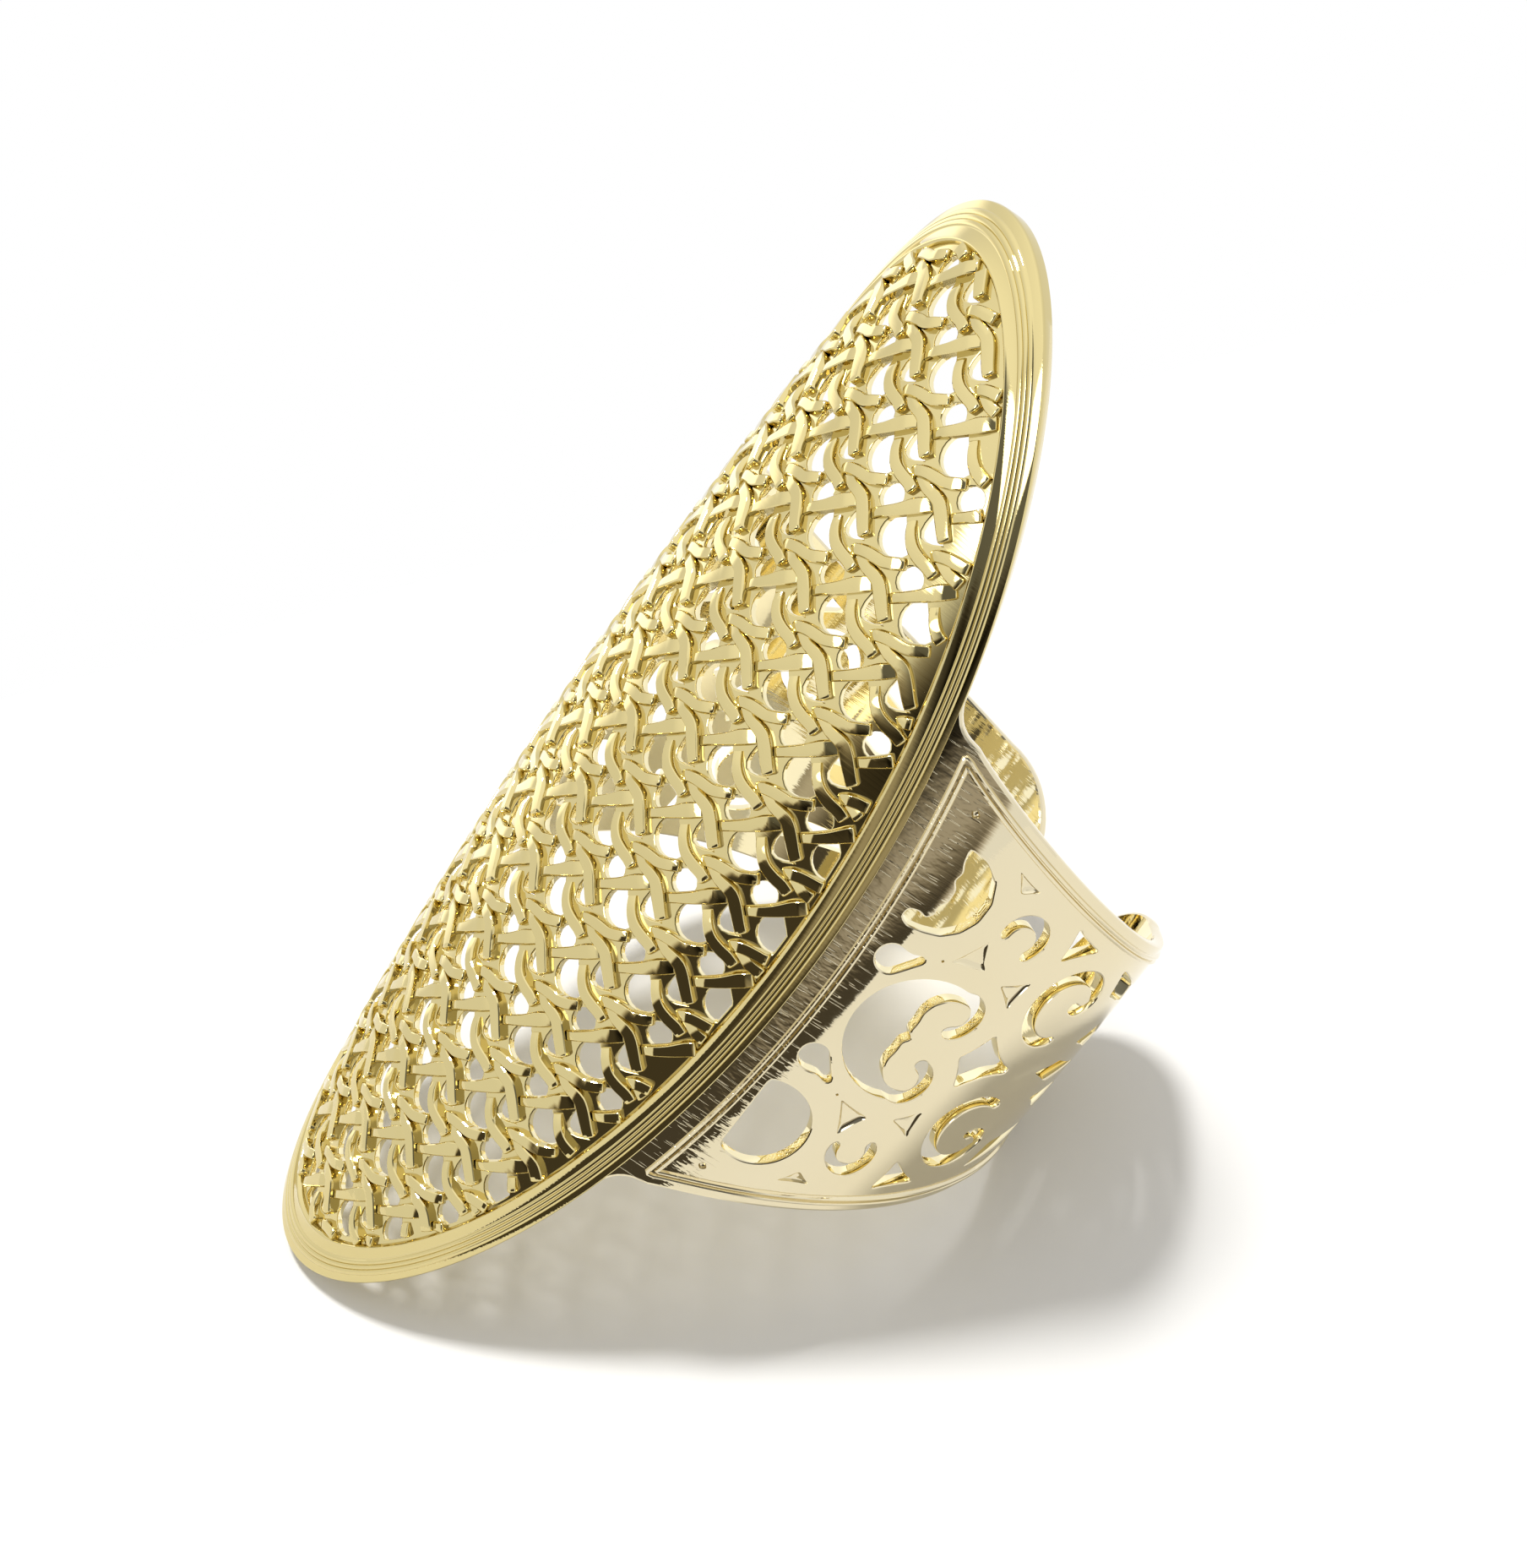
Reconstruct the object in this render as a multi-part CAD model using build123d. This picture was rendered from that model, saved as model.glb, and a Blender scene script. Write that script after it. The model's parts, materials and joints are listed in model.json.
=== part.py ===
from build123d import *
from math import atan2, ceil, cos, degrees, exp, pi, radians, sin, sqrt, tan
import os

# Adjustable ring of pressed and pierced sheet, rolled round the finger.
# It is modelled about the finger axis first: X across the finger, Y along it, Z out of the
# front plate. Lengths called round are measured round the outside of the sheet from the
# middle of the plate. At the end the ring is tipped onto a level surface, as it rests.

# The sheet, in millimetres
ring_radius = 9.5        # outside of the sheet, from the finger axis
sheet = 0.55             # thickness
tip_drop = 1.0           # how far each tip of the plate bows in towards the finger

# The oval front plate
plate_length = 37.7      # along the finger
plate_width = 19.1       # round the finger
rim_side = 0.95          # width of the rim at the waist of the plate
rim_tip = 1.35           # width of the rim at its tips
rim_rise = 0.22          # height of the rim over the sheet

# The reeded band on the rim
reed_inset = 0.42        # edge of the plate to the band
reed_width = 0.38
reed_rise = 0.08         # height over the rim

# The woven field, which repeats in columns along the finger
column_pitch = 2.0
column_step = 1.24       # how much further along each column starts
row_pitch = 2.56
first_column = 1.89      # round, of one bar of the weave
first_row = -0.06        # along, of the same bar
gap_radius = 0.56        # half moon gap beside each bar
gap_across = 0.42        # its centre from the middle of the bar, round the finger
gap_along = -0.56        # its centre from the middle of the bar, along the finger
gap_turn = 45.0          # direction in which its straight side faces, in degrees
gap_flat = 0.22          # centre to straight side
gap_margin = 0.18        # metal left between a gap and the rim

# The wings of the band
wing_length = 18.45      # edge of the plate to the open end, round the finger
wing_root = 15.7         # width along the finger where it leaves the plate
wing_end = 7.6           # width along the finger at the open end
wing_taper = 1.7         # power of the taper's curve
end_round = 3.6          # corner radius of the open end
root_flare = 0.8         # how much wider the corner at the plate is
flare_reach = 0.35       # how fast the flare dies out

# The bead that frames each wing
bead_root = 0.5          # edge of the plate to the bead, at the root
bead_inset = 0.32        # edge of the wing to the bead, elsewhere
bead_width = 0.32
bead_rise = 0.1

# Scroll ornament cut through a wing. The place of a motif is a share of the wing's length
# and of half its root width, and its sizes are shares of half its root width. Each off
# the middle line is cut on both sides of it.
# name: along, across, radius, channel, start and stop angle in degrees
arc_motifs = {
    "moon": (0.237, 0.515, 0.098, 0.046, -55, 195),
    "spiral outside": (0.420, 0.293, 0.178, 0.054, 5, 290),
    "spiral inside": (0.449, 0.344, 0.102, 0.046, -125, 5),
    "rear moon": (0.640, 0.255, 0.110, 0.050, -70, 160),
}
# name: along, across, list of corners as shares, bow of the sides as a share
corner_motifs = {
    "triangle": (0.346, 0.550, [(-0.056, 0.054), (0.090, 0.004), (-0.036, -0.058)], 0.014),
    "square": (0.322, 0.0, [(-0.078, 0.0), (0.0, 0.130), (0.205, 0.0), (0.0, -0.130)], 0.034),
    "side slot": (0.577, 0.430, [(-0.052, 0.062), (0.250, -0.030), (0.250, -0.088), (0.0, -0.062)], 0.010),
    "rear leaf": (0.640, 0.0, [(-0.150, 0.0), (0.0, 0.092), (0.150, 0.0), (0.0, -0.092)], 0.016),
    "comma": (0.084, 0.228, [(-0.046, 0.052), (0.100, 0.054), (0.064, 0.006), (-0.010, -0.066), (-0.050, -0.040)], 0.010),
}
# name: along, across, list of corners as shares; pressed in, not through
blind_motifs = {
    "large dent": (0.229, 0.372, [(0.012, 0.066), (0.056, -0.026), (-0.050, -0.044)]),
    "middle dent": (0.345, 0.314, [(-0.058, 0.002), (0.030, 0.042), (0.012, -0.050)]),
    "small dent": (0.224, 0.690, [(-0.048, 0.022), (0.046, -0.006), (0.002, -0.032)]),
}
blind_depth = 0.15
half_disc_along = 0.099
half_disc_across = 0.542
half_disc_radius = 0.175
half_disc_flat = 0.070   # centre to its straight side
hook_along = 0.238       # the hooked crescent on the middle line
hook_radius = 0.255
hook_island = 0.206      # half height of the island inside the crescent
hook_face = 0.045        # centre to the island's near face
hook_notch = 0.050       # depth of the notch in that face
hook_centre = (0.076, 0.154)
hook_ring = 0.102        # outside radius of each hook

# Values worked out from those above
half_length = plate_length / 2
half_width = plate_width / 2
root_half = wing_root / 2
wing_stop = half_width + wing_length
bow_radius = (half_length**2 + tip_drop**2) / (2 * tip_drop)
reach_out = 1.5 * sheet + rim_rise + reed_rise
cut_depth = 3 * sheet


def surface_plane(around, along, lift=0.0):
    """Plane on the sheet's outside: x round the finger, y along it, z outwards."""
    angle = around / ring_radius
    drop = bow_radius - sqrt(bow_radius**2 - along**2)
    out = ring_radius - drop + lift
    outward = Vector(sin(angle), 0, cos(angle))
    return Plane(
        origin=(out * outward.X, along, out * outward.Z),
        x_dir=(cos(angle), 0, -sin(angle)),
        z_dir=outward,
    )


def barrel(rise, depth):
    """The sheet's whole barrel, from depth below its outside to rise above it."""
    reach = half_length + sheet
    centre = ring_radius - bow_radius

    def bowed(radius, end):
        return centre + sqrt(radius**2 - end**2)

    outer = bow_radius + rise
    inner = bow_radius - depth
    edges = [
        ThreePointArc((-reach, bowed(outer, reach)), (0, centre + outer), (reach, bowed(outer, reach))),
        Line((reach, bowed(outer, reach)), (reach, bowed(inner, reach))),
        ThreePointArc((reach, bowed(inner, reach)), (0, centre + inner), (-reach, bowed(inner, reach))),
        Line((-reach, bowed(inner, reach)), (-reach, bowed(outer, reach))),
    ]
    profile = Plane.YZ * make_face(edges)
    return revolve(profile, Axis.Y)


def radial_block(curves, middle, directions=None):
    """Block whose walls point at the finger axis, from curves of (round, along) points.

    Directions, if given, are each curve's start and end tangents.
    """
    levels = []
    for height in (0.25 * ring_radius, ring_radius + reach_out):
        edges = []
        for n, points in enumerate(curves):
            flat = [(height * tan((around - middle) / ring_radius), along) for around, along in points]
            if len(flat) == 2:
                edges.append(Line(*flat))
            elif directions is None:
                edges.append(Spline(*flat))
            else:
                edges.append(Spline(*flat, tangents=directions[n], tangent_scalars=[1, 1]))
        levels.append(Plane.XY.offset(height) * make_face(edges))
    block = loft(levels, ruled=True)
    return block.rotate(Axis.Y, degrees(middle / ring_radius))


def oval_block(side_inset=0.0, tip_inset=0.0, steps=8):
    """Block inside an oval drawn in from the plate's edge, in two mirrored halves."""
    turns = [pi * n / steps for n in range(steps + 1)]
    right = [((half_width - side_inset) * sin(t), (half_length - tip_inset) * cos(t)) for t in turns]
    left = [(-around, along) for around, along in right[::-1]]
    return radial_block([right, left], 0, [[(1, 0), (-1, 0)], [(-1, 0), (1, 0)]])


def oval_side(along, inset=0.0):
    """How far round the finger the plate's edge lies at a place along it."""
    return (half_width - inset) * sqrt(1 - (along / (half_length - inset)) ** 2)


def wing_half(around):
    """Half the wing's width along the finger, with the flare at its root."""
    share = min(max((around - half_width) / wing_length, 0), 1)
    taper = (wing_root - wing_end) / 2 * (1 - share) ** wing_taper
    flare = root_flare * exp(-(around - flare_start()) / flare_reach)
    return wing_end / 2 + taper + flare


def flare_start():
    return oval_side(root_half + root_flare)


def wing_curves(inset, root_inset):
    """The wing's outline as four curves, drawn in from its edge and from the plate's edge."""
    top = root_half + root_flare - inset
    stop = wing_stop - inset
    round_off = end_round - inset
    if inset == 0:
        start = flare_start()
    else:
        top = root_half - inset
        start = oval_side(top, root_inset)
    run = stop - round_off - start
    shares = [0, 0.02, 0.05, 0.12, 0.3, 0.6, 1]
    edge = []
    for share in shares:
        around = start + run * share
        edge.append((around, top if share == 0 else wing_half(around) - inset))
    last = edge[-1][1]
    corner = []
    for turn in (0, 45, 90):
        angle = radians(turn)
        corner.append((stop - round_off * (1 - sin(angle)), last - round_off * (1 - cos(angle))))
    steps = [top * (1 - n / 3) for n in range(7)]
    root = [(oval_side(along, root_inset), along) for along in steps]
    mirrored = [(around, -along) for around, along in edge]
    lower = [(around, -along) for around, along in corner]
    curves = [edge, corner, [corner[-1], lower[-1]], lower[::-1], mirrored[::-1], root[::-1]]
    if inset == 0:
        curves[-1:] = [[mirrored[0], root[-1]], root[::-1], [root[0], edge[0]]]
    return curves


def wing_block(inset, root_inset):
    return radial_block(wing_curves(inset, root_inset), (half_width + wing_stop) / 2)


def cutter(face, around, along, depth=None):
    """A face on the sheet made into a block through it, or into it to a depth."""
    place = surface_plane(around, along)
    if depth is None:
        return place * extrude(Plane.XY.offset(-cut_depth) * face, cut_depth + reach_out)
    return place * extrude(Plane.XY.offset(-depth) * face, depth + reach_out)


def channel(radius, width, start, stop):
    """Part of a flat ring between two angles."""
    sweep = stop - start
    outer = CenterArc((0, 0), radius, start, sweep)
    inner = CenterArc((0, 0), radius - width, start, sweep)
    return make_face([outer, Line(outer @ 1, inner @ 1), inner, Line(inner @ 0, outer @ 0)])


def bowed_outline(corners, bow):
    """Closed outline whose sides all bow inwards."""
    centre_x = sum(x for x, y in corners) / len(corners)
    centre_y = sum(y for x, y in corners) / len(corners)
    edges = []
    for n, start in enumerate(corners):
        stop = corners[(n + 1) % len(corners)]
        mid_x = (start[0] + stop[0]) / 2
        mid_y = (start[1] + stop[1]) / 2
        reach = sqrt((centre_x - mid_x) ** 2 + (centre_y - mid_y) ** 2)
        middle = (mid_x + bow * (centre_x - mid_x) / reach, mid_y + bow * (centre_y - mid_y) / reach)
        edges.append(ThreePointArc(start, middle, stop))
    return make_face(edges)


def scaled(corners):
    return [(x * root_half, y * root_half) for x, y in corners]


def wing_place(along_wing, across):
    return half_width + along_wing * wing_length, across * root_half


def both_sides(tool, across):
    """A cutter with its mirror image, unless it lies on the middle line."""
    return [tool] if across == 0 else [tool, mirror(tool, Plane.XZ)]


def hooked_crescent():
    """Crescent on the middle line whose two ends curl in to hooks."""
    radius = hook_radius * root_half
    island = hook_island * root_half
    face = hook_face * root_half
    notch = hook_notch * root_half
    centre_x, centre_y = scaled([hook_centre])[0]
    corners = [(-face, -island), (centre_x, -island), (centre_x, -radius), (2 * radius, -radius)]
    corners += [(2 * radius, radius), (centre_x, radius), (centre_x, island), (-face, island)]
    corners += [(-face, notch), (notch - face, 0), (-face, -notch)]
    shape = Circle(radius) - make_face(Polyline(*corners, close=True))
    ring = hook_ring * root_half
    hook = channel(ring, ring - (island - centre_y), -80, 90)
    shape += Pos(centre_x, centre_y) * hook
    shape += mirror(Pos(centre_x, centre_y) * hook, Plane.XZ)
    return shape


def wing_cutters():
    """Everything that is cut through the right wing."""
    tools = []
    for along_wing, across, radius, width, start, stop in arc_motifs.values():
        around, along = wing_place(along_wing, across)
        face = channel(radius * root_half, width * root_half, start, stop)
        tools += both_sides(cutter(face, around, along), across)
    for along_wing, across, corners, bow in corner_motifs.values():
        around, along = wing_place(along_wing, across)
        face = bowed_outline(scaled(corners), bow * root_half)
        tools += both_sides(cutter(face, around, along), across)
    around, along = wing_place(half_disc_along, half_disc_across)
    radius = half_disc_radius * root_half
    keep = Pos(radius - half_disc_flat * root_half, 0) * Rectangle(2 * radius, 2 * radius)
    tools += both_sides(cutter(Circle(radius) & keep, around, along), half_disc_across)
    around, along = wing_place(hook_along, 0)
    tools.append(cutter(hooked_crescent(), around, along))
    return tools


def wing_dents():
    """Everything that is pressed into the right wing without going through."""
    tools = []
    for along_wing, across, corners in blind_motifs.values():
        around, along = wing_place(along_wing, across)
        face = make_face(Polyline(*scaled(corners), close=True))
        tools += both_sides(cutter(face, around, along, blind_depth), across)
    return tools


def weave_gaps():
    """Half moon gaps of the weave, one beside each bar that lies inside the rim."""
    keep = Rot(0, 0, gap_turn) * Pos(gap_flat - gap_radius, 0) * Rectangle(2 * gap_radius, 2 * gap_radius)
    face = Circle(gap_radius) & keep
    room_side = half_width - rim_side - gap_radius - gap_margin
    room_tip = half_length - rim_tip - gap_radius - gap_margin
    columns = ceil(half_width / column_pitch) + 1
    rows = ceil(half_length / row_pitch) + columns
    tools = []
    for column in range(-columns, columns + 1):
        for row in range(-rows, rows + 1):
            around = first_column + gap_across + column * column_pitch
            along = first_row + gap_along + column * column_step + row * row_pitch
            if (around / room_side) ** 2 + (along / room_tip) ** 2 < 1:
                tools.append(cutter(face, around, along))
    return tools


def one_wing():
    """The right wing, up to the plate's edge: sheet, bead, cuts and dents."""
    wing = barrel(0, sheet) & (wing_block(0, rim_side / 2) - oval_block())
    edge = wing_block(bead_inset, -bead_root)
    field = wing_block(bead_inset + bead_width, -bead_root - bead_width)
    wing += (barrel(bead_rise, sheet / 2) & edge) - field
    return wing - wing_cutters() - wing_dents()


def front_plate():
    """The oval plate: sheet, gaps of the weave, raised rim and its reeded band."""
    plate = (barrel(0, sheet) & oval_block()) - weave_gaps()
    rim = barrel(rim_rise, sheet / 2) & (oval_block() - oval_block(rim_side, rim_tip))
    band_inside = reed_inset + reed_width
    band = oval_block(reed_inset, reed_inset) - oval_block(band_inside, band_inside)
    return plate + (rim + (barrel(rim_rise + reed_rise, sheet / 2) & band))


def resting_tilt(wing):
    """Angle that lays the ring on the plate's lower tip and the lower corners of the wings."""
    tip_y = -half_length
    tip_z = ring_radius - sheet - tip_drop
    steepest = 0
    for edge in wing.edges():
        for n in range(9):
            point = edge @ (n / 8)
            if point.Z < 0:
                steepest = max(steepest, atan2(tip_z - point.Z, -abs(point.Y) - tip_y))
    return degrees(steepest)


wing = one_wing()
ring = front_plate() + wing + mirror(wing, Plane.YZ)

# Tip the ring onto the surface and bring its origin under its middle
tilt = resting_tilt(wing)
ring = ring.rotate(Axis.X, tilt)
box = ring.bounding_box()
middle = box.center()
ring = Pos(-middle.X, -middle.Y, -box.min.Z) * ring

os.makedirs("parts", exist_ok=True)
ring.label = "ring"
export_step(ring, "parts/ring.step")
print("gaps in the weave", len(weave_gaps()), "cuts in each wing", len(wing_cutters()))
print("resting tilt", round(tilt, 3), "finger axis at", -round(middle.Y, 3), -round(box.min.Z, 3))
print("volume", round(ring.volume, 1), "solids", len(ring.solids()))
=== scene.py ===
import json
from math import acos, cos, degrees, exp, hypot, pi, radians, sin, sqrt

import bpy
from mathutils import Matrix, Vector
from mathutils.geometry import delaunay_2d_cdt


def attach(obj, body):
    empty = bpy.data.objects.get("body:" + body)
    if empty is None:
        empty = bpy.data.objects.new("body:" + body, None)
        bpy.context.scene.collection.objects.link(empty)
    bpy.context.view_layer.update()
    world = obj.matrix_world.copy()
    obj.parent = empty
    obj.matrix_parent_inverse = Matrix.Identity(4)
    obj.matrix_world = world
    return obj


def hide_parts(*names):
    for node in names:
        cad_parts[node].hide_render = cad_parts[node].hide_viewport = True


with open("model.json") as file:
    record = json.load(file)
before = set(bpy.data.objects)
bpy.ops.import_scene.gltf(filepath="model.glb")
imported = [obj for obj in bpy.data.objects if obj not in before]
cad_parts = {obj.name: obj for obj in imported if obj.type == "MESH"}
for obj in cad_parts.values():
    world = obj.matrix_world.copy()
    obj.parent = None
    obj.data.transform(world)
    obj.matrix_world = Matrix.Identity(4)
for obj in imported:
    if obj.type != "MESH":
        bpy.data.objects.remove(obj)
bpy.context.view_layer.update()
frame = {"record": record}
print("frame loaded")

# Lengths are in millimetres. Every point of the sheet is given as a distance round it from the
# middle of the plate, a distance along the finger, and a height over the sheet's outside.
mm = 0.001
ringShape = dict(
    radius=9.5,  # to the sheet's outside
    thickness=0.55,
    plateLength=37.7,
    plateWidth=19.1,
    tipDrop=1.0,  # how much nearer the finger the plate's tips are than its middle
)
halfLength = ringShape["plateLength"] / 2
halfWidth = ringShape["plateWidth"] / 2
bowRadius = (halfLength**2 + ringShape["tipDrop"] ** 2) / (2 * ringShape["tipDrop"])

finger = frame["record"]["mounts"][0]  # the finger hole gives the ring's place and tilt
fingerCentre = Vector(finger["pos_m"])
acrossAxis = Vector((1, 0, 0))
fingerAxis = Vector(finger["axis"]).normalized()
plateAxis = acrossAxis.cross(fingerAxis)


def fromRing(across, along, out):
    return fingerCentre + (acrossAxis * across + fingerAxis * along + plateAxis * out) * mm


def place(around, along, height=0.0):
    angle = around / ringShape["radius"]
    out = ringShape["radius"] + height - bowRadius + sqrt(bowRadius**2 - along**2)
    return fromRing(out * sin(angle), along, out * cos(angle))


def outward(around, along):
    angle = around / ringShape["radius"]
    slope = along / sqrt(bowRadius**2 - along**2)
    return (acrossAxis * sin(angle) + plateAxis * cos(angle) + fingerAxis * slope).normalized()


# Camera, placed from the middle of the finger hole
view = dict(
    position=(49.6, 22.6, 43.2),
    aim=(-1.98, 0.50, 2.22),
    roll=6.72,
    lens=53.53,
    sensor=36,
    nearest=0.001,  # in metres
)


def makeCamera():
    camera = bpy.data.objects.new("camera", bpy.data.cameras.new("camera"))
    bpy.context.scene.collection.objects.link(camera)
    bpy.context.scene.camera = camera
    camera.data.sensor_fit = "HORIZONTAL"
    camera.data.sensor_width = view["sensor"]
    camera.data.lens = view["lens"]
    camera.data.clip_start = view["nearest"]
    position = fromRing(*view["position"])
    forward = (fromRing(*view["aim"]) - position).normalized()
    level = forward.cross(Vector((0, 0, 1))).normalized()
    upright = level.cross(forward)
    turn = radians(view["roll"])
    right = level * cos(turn) - upright * sin(turn)
    up = right.cross(forward)
    rotation = Matrix((right, up, -forward)).transposed().to_4x4()
    camera.matrix_world = Matrix.Translation(position) @ rotation


makeCamera()
print("camera placed")

# Outlines, as lists of (around, along) points. A finished one runs anticlockwise.
drawStep = 0.1  # between the points of an outline


def arc(at, radius, start, stop, step=drawStep):
    sweep = radians(stop - start)
    count = max(3, int(abs(sweep) * radius / step))
    turns = [radians(start) + sweep * n / count for n in range(count + 1)]
    return [(at[0] + radius * cos(t), at[1] + radius * sin(t)) for t in turns]


def resample(points, step=drawStep):
    result = []
    for first, second in zip(points, points[1:] + points[:1]):
        count = max(1, round(hypot(second[0] - first[0], second[1] - first[1]) / step))
        for n in range(count):
            share = n / count
            result.append(tuple(a + (b - a) * share for a, b in zip(first, second)))
    return result


def soften(points, passes):
    for _ in range(passes):
        before = points[-1:] + points[:-1]
        after = points[1:] + points[:1]
        points = [
            ((a[0] + 2 * b[0] + c[0]) / 4, (a[1] + 2 * b[1] + c[1]) / 4)
            for a, b, c in zip(before, points, after)
        ]
    return points


def area(points):
    after = points[1:] + points[:1]
    return sum(a[0] * b[1] - b[0] * a[1] for a, b in zip(points, after)) / 2


def anticlockwise(points):
    return points if area(points) > 0 else points[::-1]


def middleOf(points):
    return sum(x for x, y in points) / len(points), sum(y for x, y in points) / len(points)


def sideways(first, second):  # a step of length 1 to the right of the way from first to second
    run = hypot(second[0] - first[0], second[1] - first[1]) or 1
    return (second[1] - first[1]) / run, (first[0] - second[0]) / run


def offset(points, distance):
    result = []
    for n, here in enumerate(points):
        before = sideways(points[n - 1], here)
        after = sideways(here, points[(n + 1) % len(points)])
        mid = (before[0] + after[0], before[1] + after[1])
        size = hypot(*mid) or 1
        mid = (mid[0] / size, mid[1] / size)
        spread = max(0.5, mid[0] * before[0] + mid[1] * before[1])  # holds sharp corners back
        result.append((here[0] + mid[0] * distance / spread, here[1] + mid[1] * distance / spread))
    return result


def inside(point, loop):
    hit = False
    for a, b in zip(loop, loop[1:] + loop[:1]):
        if (a[1] > point[1]) != (b[1] > point[1]):
            if point[0] < a[0] + (point[1] - a[1]) / (b[1] - a[1]) * (b[0] - a[0]):
                hit = not hit
    return hit


def moved(points, centre):
    return [(x + centre[0], y + centre[1]) for x, y in points]


def mirrored(points):
    return [(x, -y) for x, y in points][::-1]


def bowedCorners(corners, bow, step=drawStep, passes=2):
    middle = middleOf(corners)
    points = []
    for first, second in zip(corners, corners[1:] + corners[:1]):
        count = max(3, int(hypot(second[0] - first[0], second[1] - first[1]) / step))
        half = middleOf([first, second])
        reach = hypot(middle[0] - half[0], middle[1] - half[1])
        pull = ((middle[0] - half[0]) / reach * bow, (middle[1] - half[1]) / reach * bow)
        for n in range(count):
            share = n / count
            lift = 4 * share * (1 - share)
            points.append(
                tuple(a + (b - a) * share + p * lift for a, b, p in zip(first, second, pull))
            )
    return soften(points, passes)


# Mesh work
roundedEdge = dict(
    middle=0.3,  # how far an edge is drawn in at its middle, as a share of its size
    inner=0.6,  # size of a hole's edge on the inside of the sheet, as a share of the outer one
)
mapSpan = 10  # of the sheet, across the whole of the unrolled map
joinWithin = 1e-6  # points of a sheet nearer than this become one


class Maker:
    def __init__(self, name, side=1):
        self.name = name
        self.side = side  # -1 gives the mirror image
        self.points = []
        self.faces = []
        self.facing = {}  # number of a face that follows the sheet: 1 looks out, -1 looks in
        self.hidden = set()  # numbers of the faces on the sheet's inside and in its holes, which get a paler gold as painted light

    def point(self, spot):
        self.points.append(spot)
        return len(self.points) - 1

    def ring(self, outline, height):
        return [self.point((x, y, height)) for x, y in outline]

    def bridge(self, first, second):
        count = len(first)
        for n in range(count):
            m = (n + 1) % count
            self.faces.append((first[n], first[m], second[m], second[n]))

    def sheet(self, outline, holes, height, facing, grid):
        spots = []
        edges = []
        for loop in [outline] + holes:
            start = len(spots)
            spots += loop
            edges += [(start + n, start + (n + 1) % len(loop)) for n in range(len(loop))]
        boxes = []
        for hole in holes:
            xs, ys = zip(*hole)
            boxes.append((min(xs), max(xs), min(ys), max(ys), hole))

        def inHole(x, y):
            return any(
                left < x < right and low < y < high and inside((x, y), hole)
                for left, right, low, high, hole in boxes
            )

        xs, ys = zip(*outline)
        for a in range(1, int((max(xs) - min(xs)) / grid[0])):
            for b in range(1, int((max(ys) - min(ys)) / grid[1])):
                spot = (min(xs) + a * grid[0], min(ys) + (b + 0.5 * (a % 2)) * grid[1])
                if inside(spot, outline) and not inHole(*spot):
                    spots.append(spot)
        flat = [Vector(s) for s in spots]
        found, _, faces, _, _, _ = delaunay_2d_cdt(flat, edges, [], 2, joinWithin, False)
        first = len(self.points)
        for spot in found:
            self.point((spot[0], spot[1], height))
        for face in faces:
            middle = sum((found[n] for n in face), Vector((0, 0))) / len(face)
            if inHole(*middle) or not inside(middle, outline):
                continue
            self.facing[len(self.faces)] = facing
            if facing < 0:
                self.hidden.add(len(self.faces))
            numbers = [first + n for n in face]
            self.faces.append(numbers if facing > 0 else numbers[::-1])

    def hole(self, outline, edge, top, bottom):
        drawn = edge * roundedEdge["middle"]
        inner = edge * roundedEdge["inner"]
        rings = [
            self.ring(offset(outline, edge), top),
            self.ring(offset(outline, drawn), top - drawn),
            self.ring(outline, top - edge),
            self.ring(outline, bottom + inner),
            self.ring(offset(outline, inner), bottom),
        ]
        for first, second in zip(rings[2:], rings[3:]):
            self.hidden.update(range(len(self.faces), len(self.faces) + len(outline)))
            self.bridge(first, second)
        for first, second in zip(rings[:2], rings[1:3]):
            self.bridge(first, second)

    def wall(self, outline, edge, top, bottom):
        drawn = edge * roundedEdge["middle"]
        rings = [
            self.ring(offset(outline, -edge), top),
            self.ring(offset(outline, -drawn), top - drawn),
            self.ring(outline, top - edge),
            self.ring(outline, bottom + edge),
            self.ring(offset(outline, -drawn), bottom + drawn),
            self.ring(offset(outline, -edge), bottom),
        ]
        for first, second in zip(rings, rings[1:]):
            self.bridge(second, first)

    def build(self, finish, brightenedHiddenFinish=None, sharp=32):
        mesh = bpy.data.meshes.new(self.name)
        spots = [place(self.side * x, y, h) for x, y, h in self.points]
        faces = self.faces if self.side > 0 else [tuple(f)[::-1] for f in self.faces]
        mesh.from_pydata(spots, [], faces)
        layer = mesh.uv_layers.new(name="unrolled")
        normals = [(0.0, 0.0, 0.0)] * len(mesh.loops)  # a zero leaves the corner as it is
        for face in mesh.polygons:
            facing = self.facing.get(face.index)
            for loop in face.loop_indices:
                x, y, h = self.points[mesh.loops[loop].vertex_index]
                layer.data[loop].uv = (x / mapSpan, y / mapSpan)
                if facing:
                    normals[loop] = tuple(outward(self.side * x, y) * facing)
        mesh.shade_smooth()
        mesh.set_sharp_from_angle(angle=radians(sharp))
        mesh.normals_split_custom_set(normals)
        mesh.materials.append(finish)
        # the inside and hole faces get the paler gold, painted light that brightens them
        if brightenedHiddenFinish:
            mesh.materials.append(brightenedHiddenFinish)
            for number in self.hidden:
                mesh.polygons[number].material_index = 1
        piece = bpy.data.objects.new(self.name, mesh)
        bpy.context.scene.collection.objects.link(piece)
        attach(piece, "root")
        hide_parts("ring")
        print("made", self.name, len(mesh.polygons), "faces")


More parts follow.
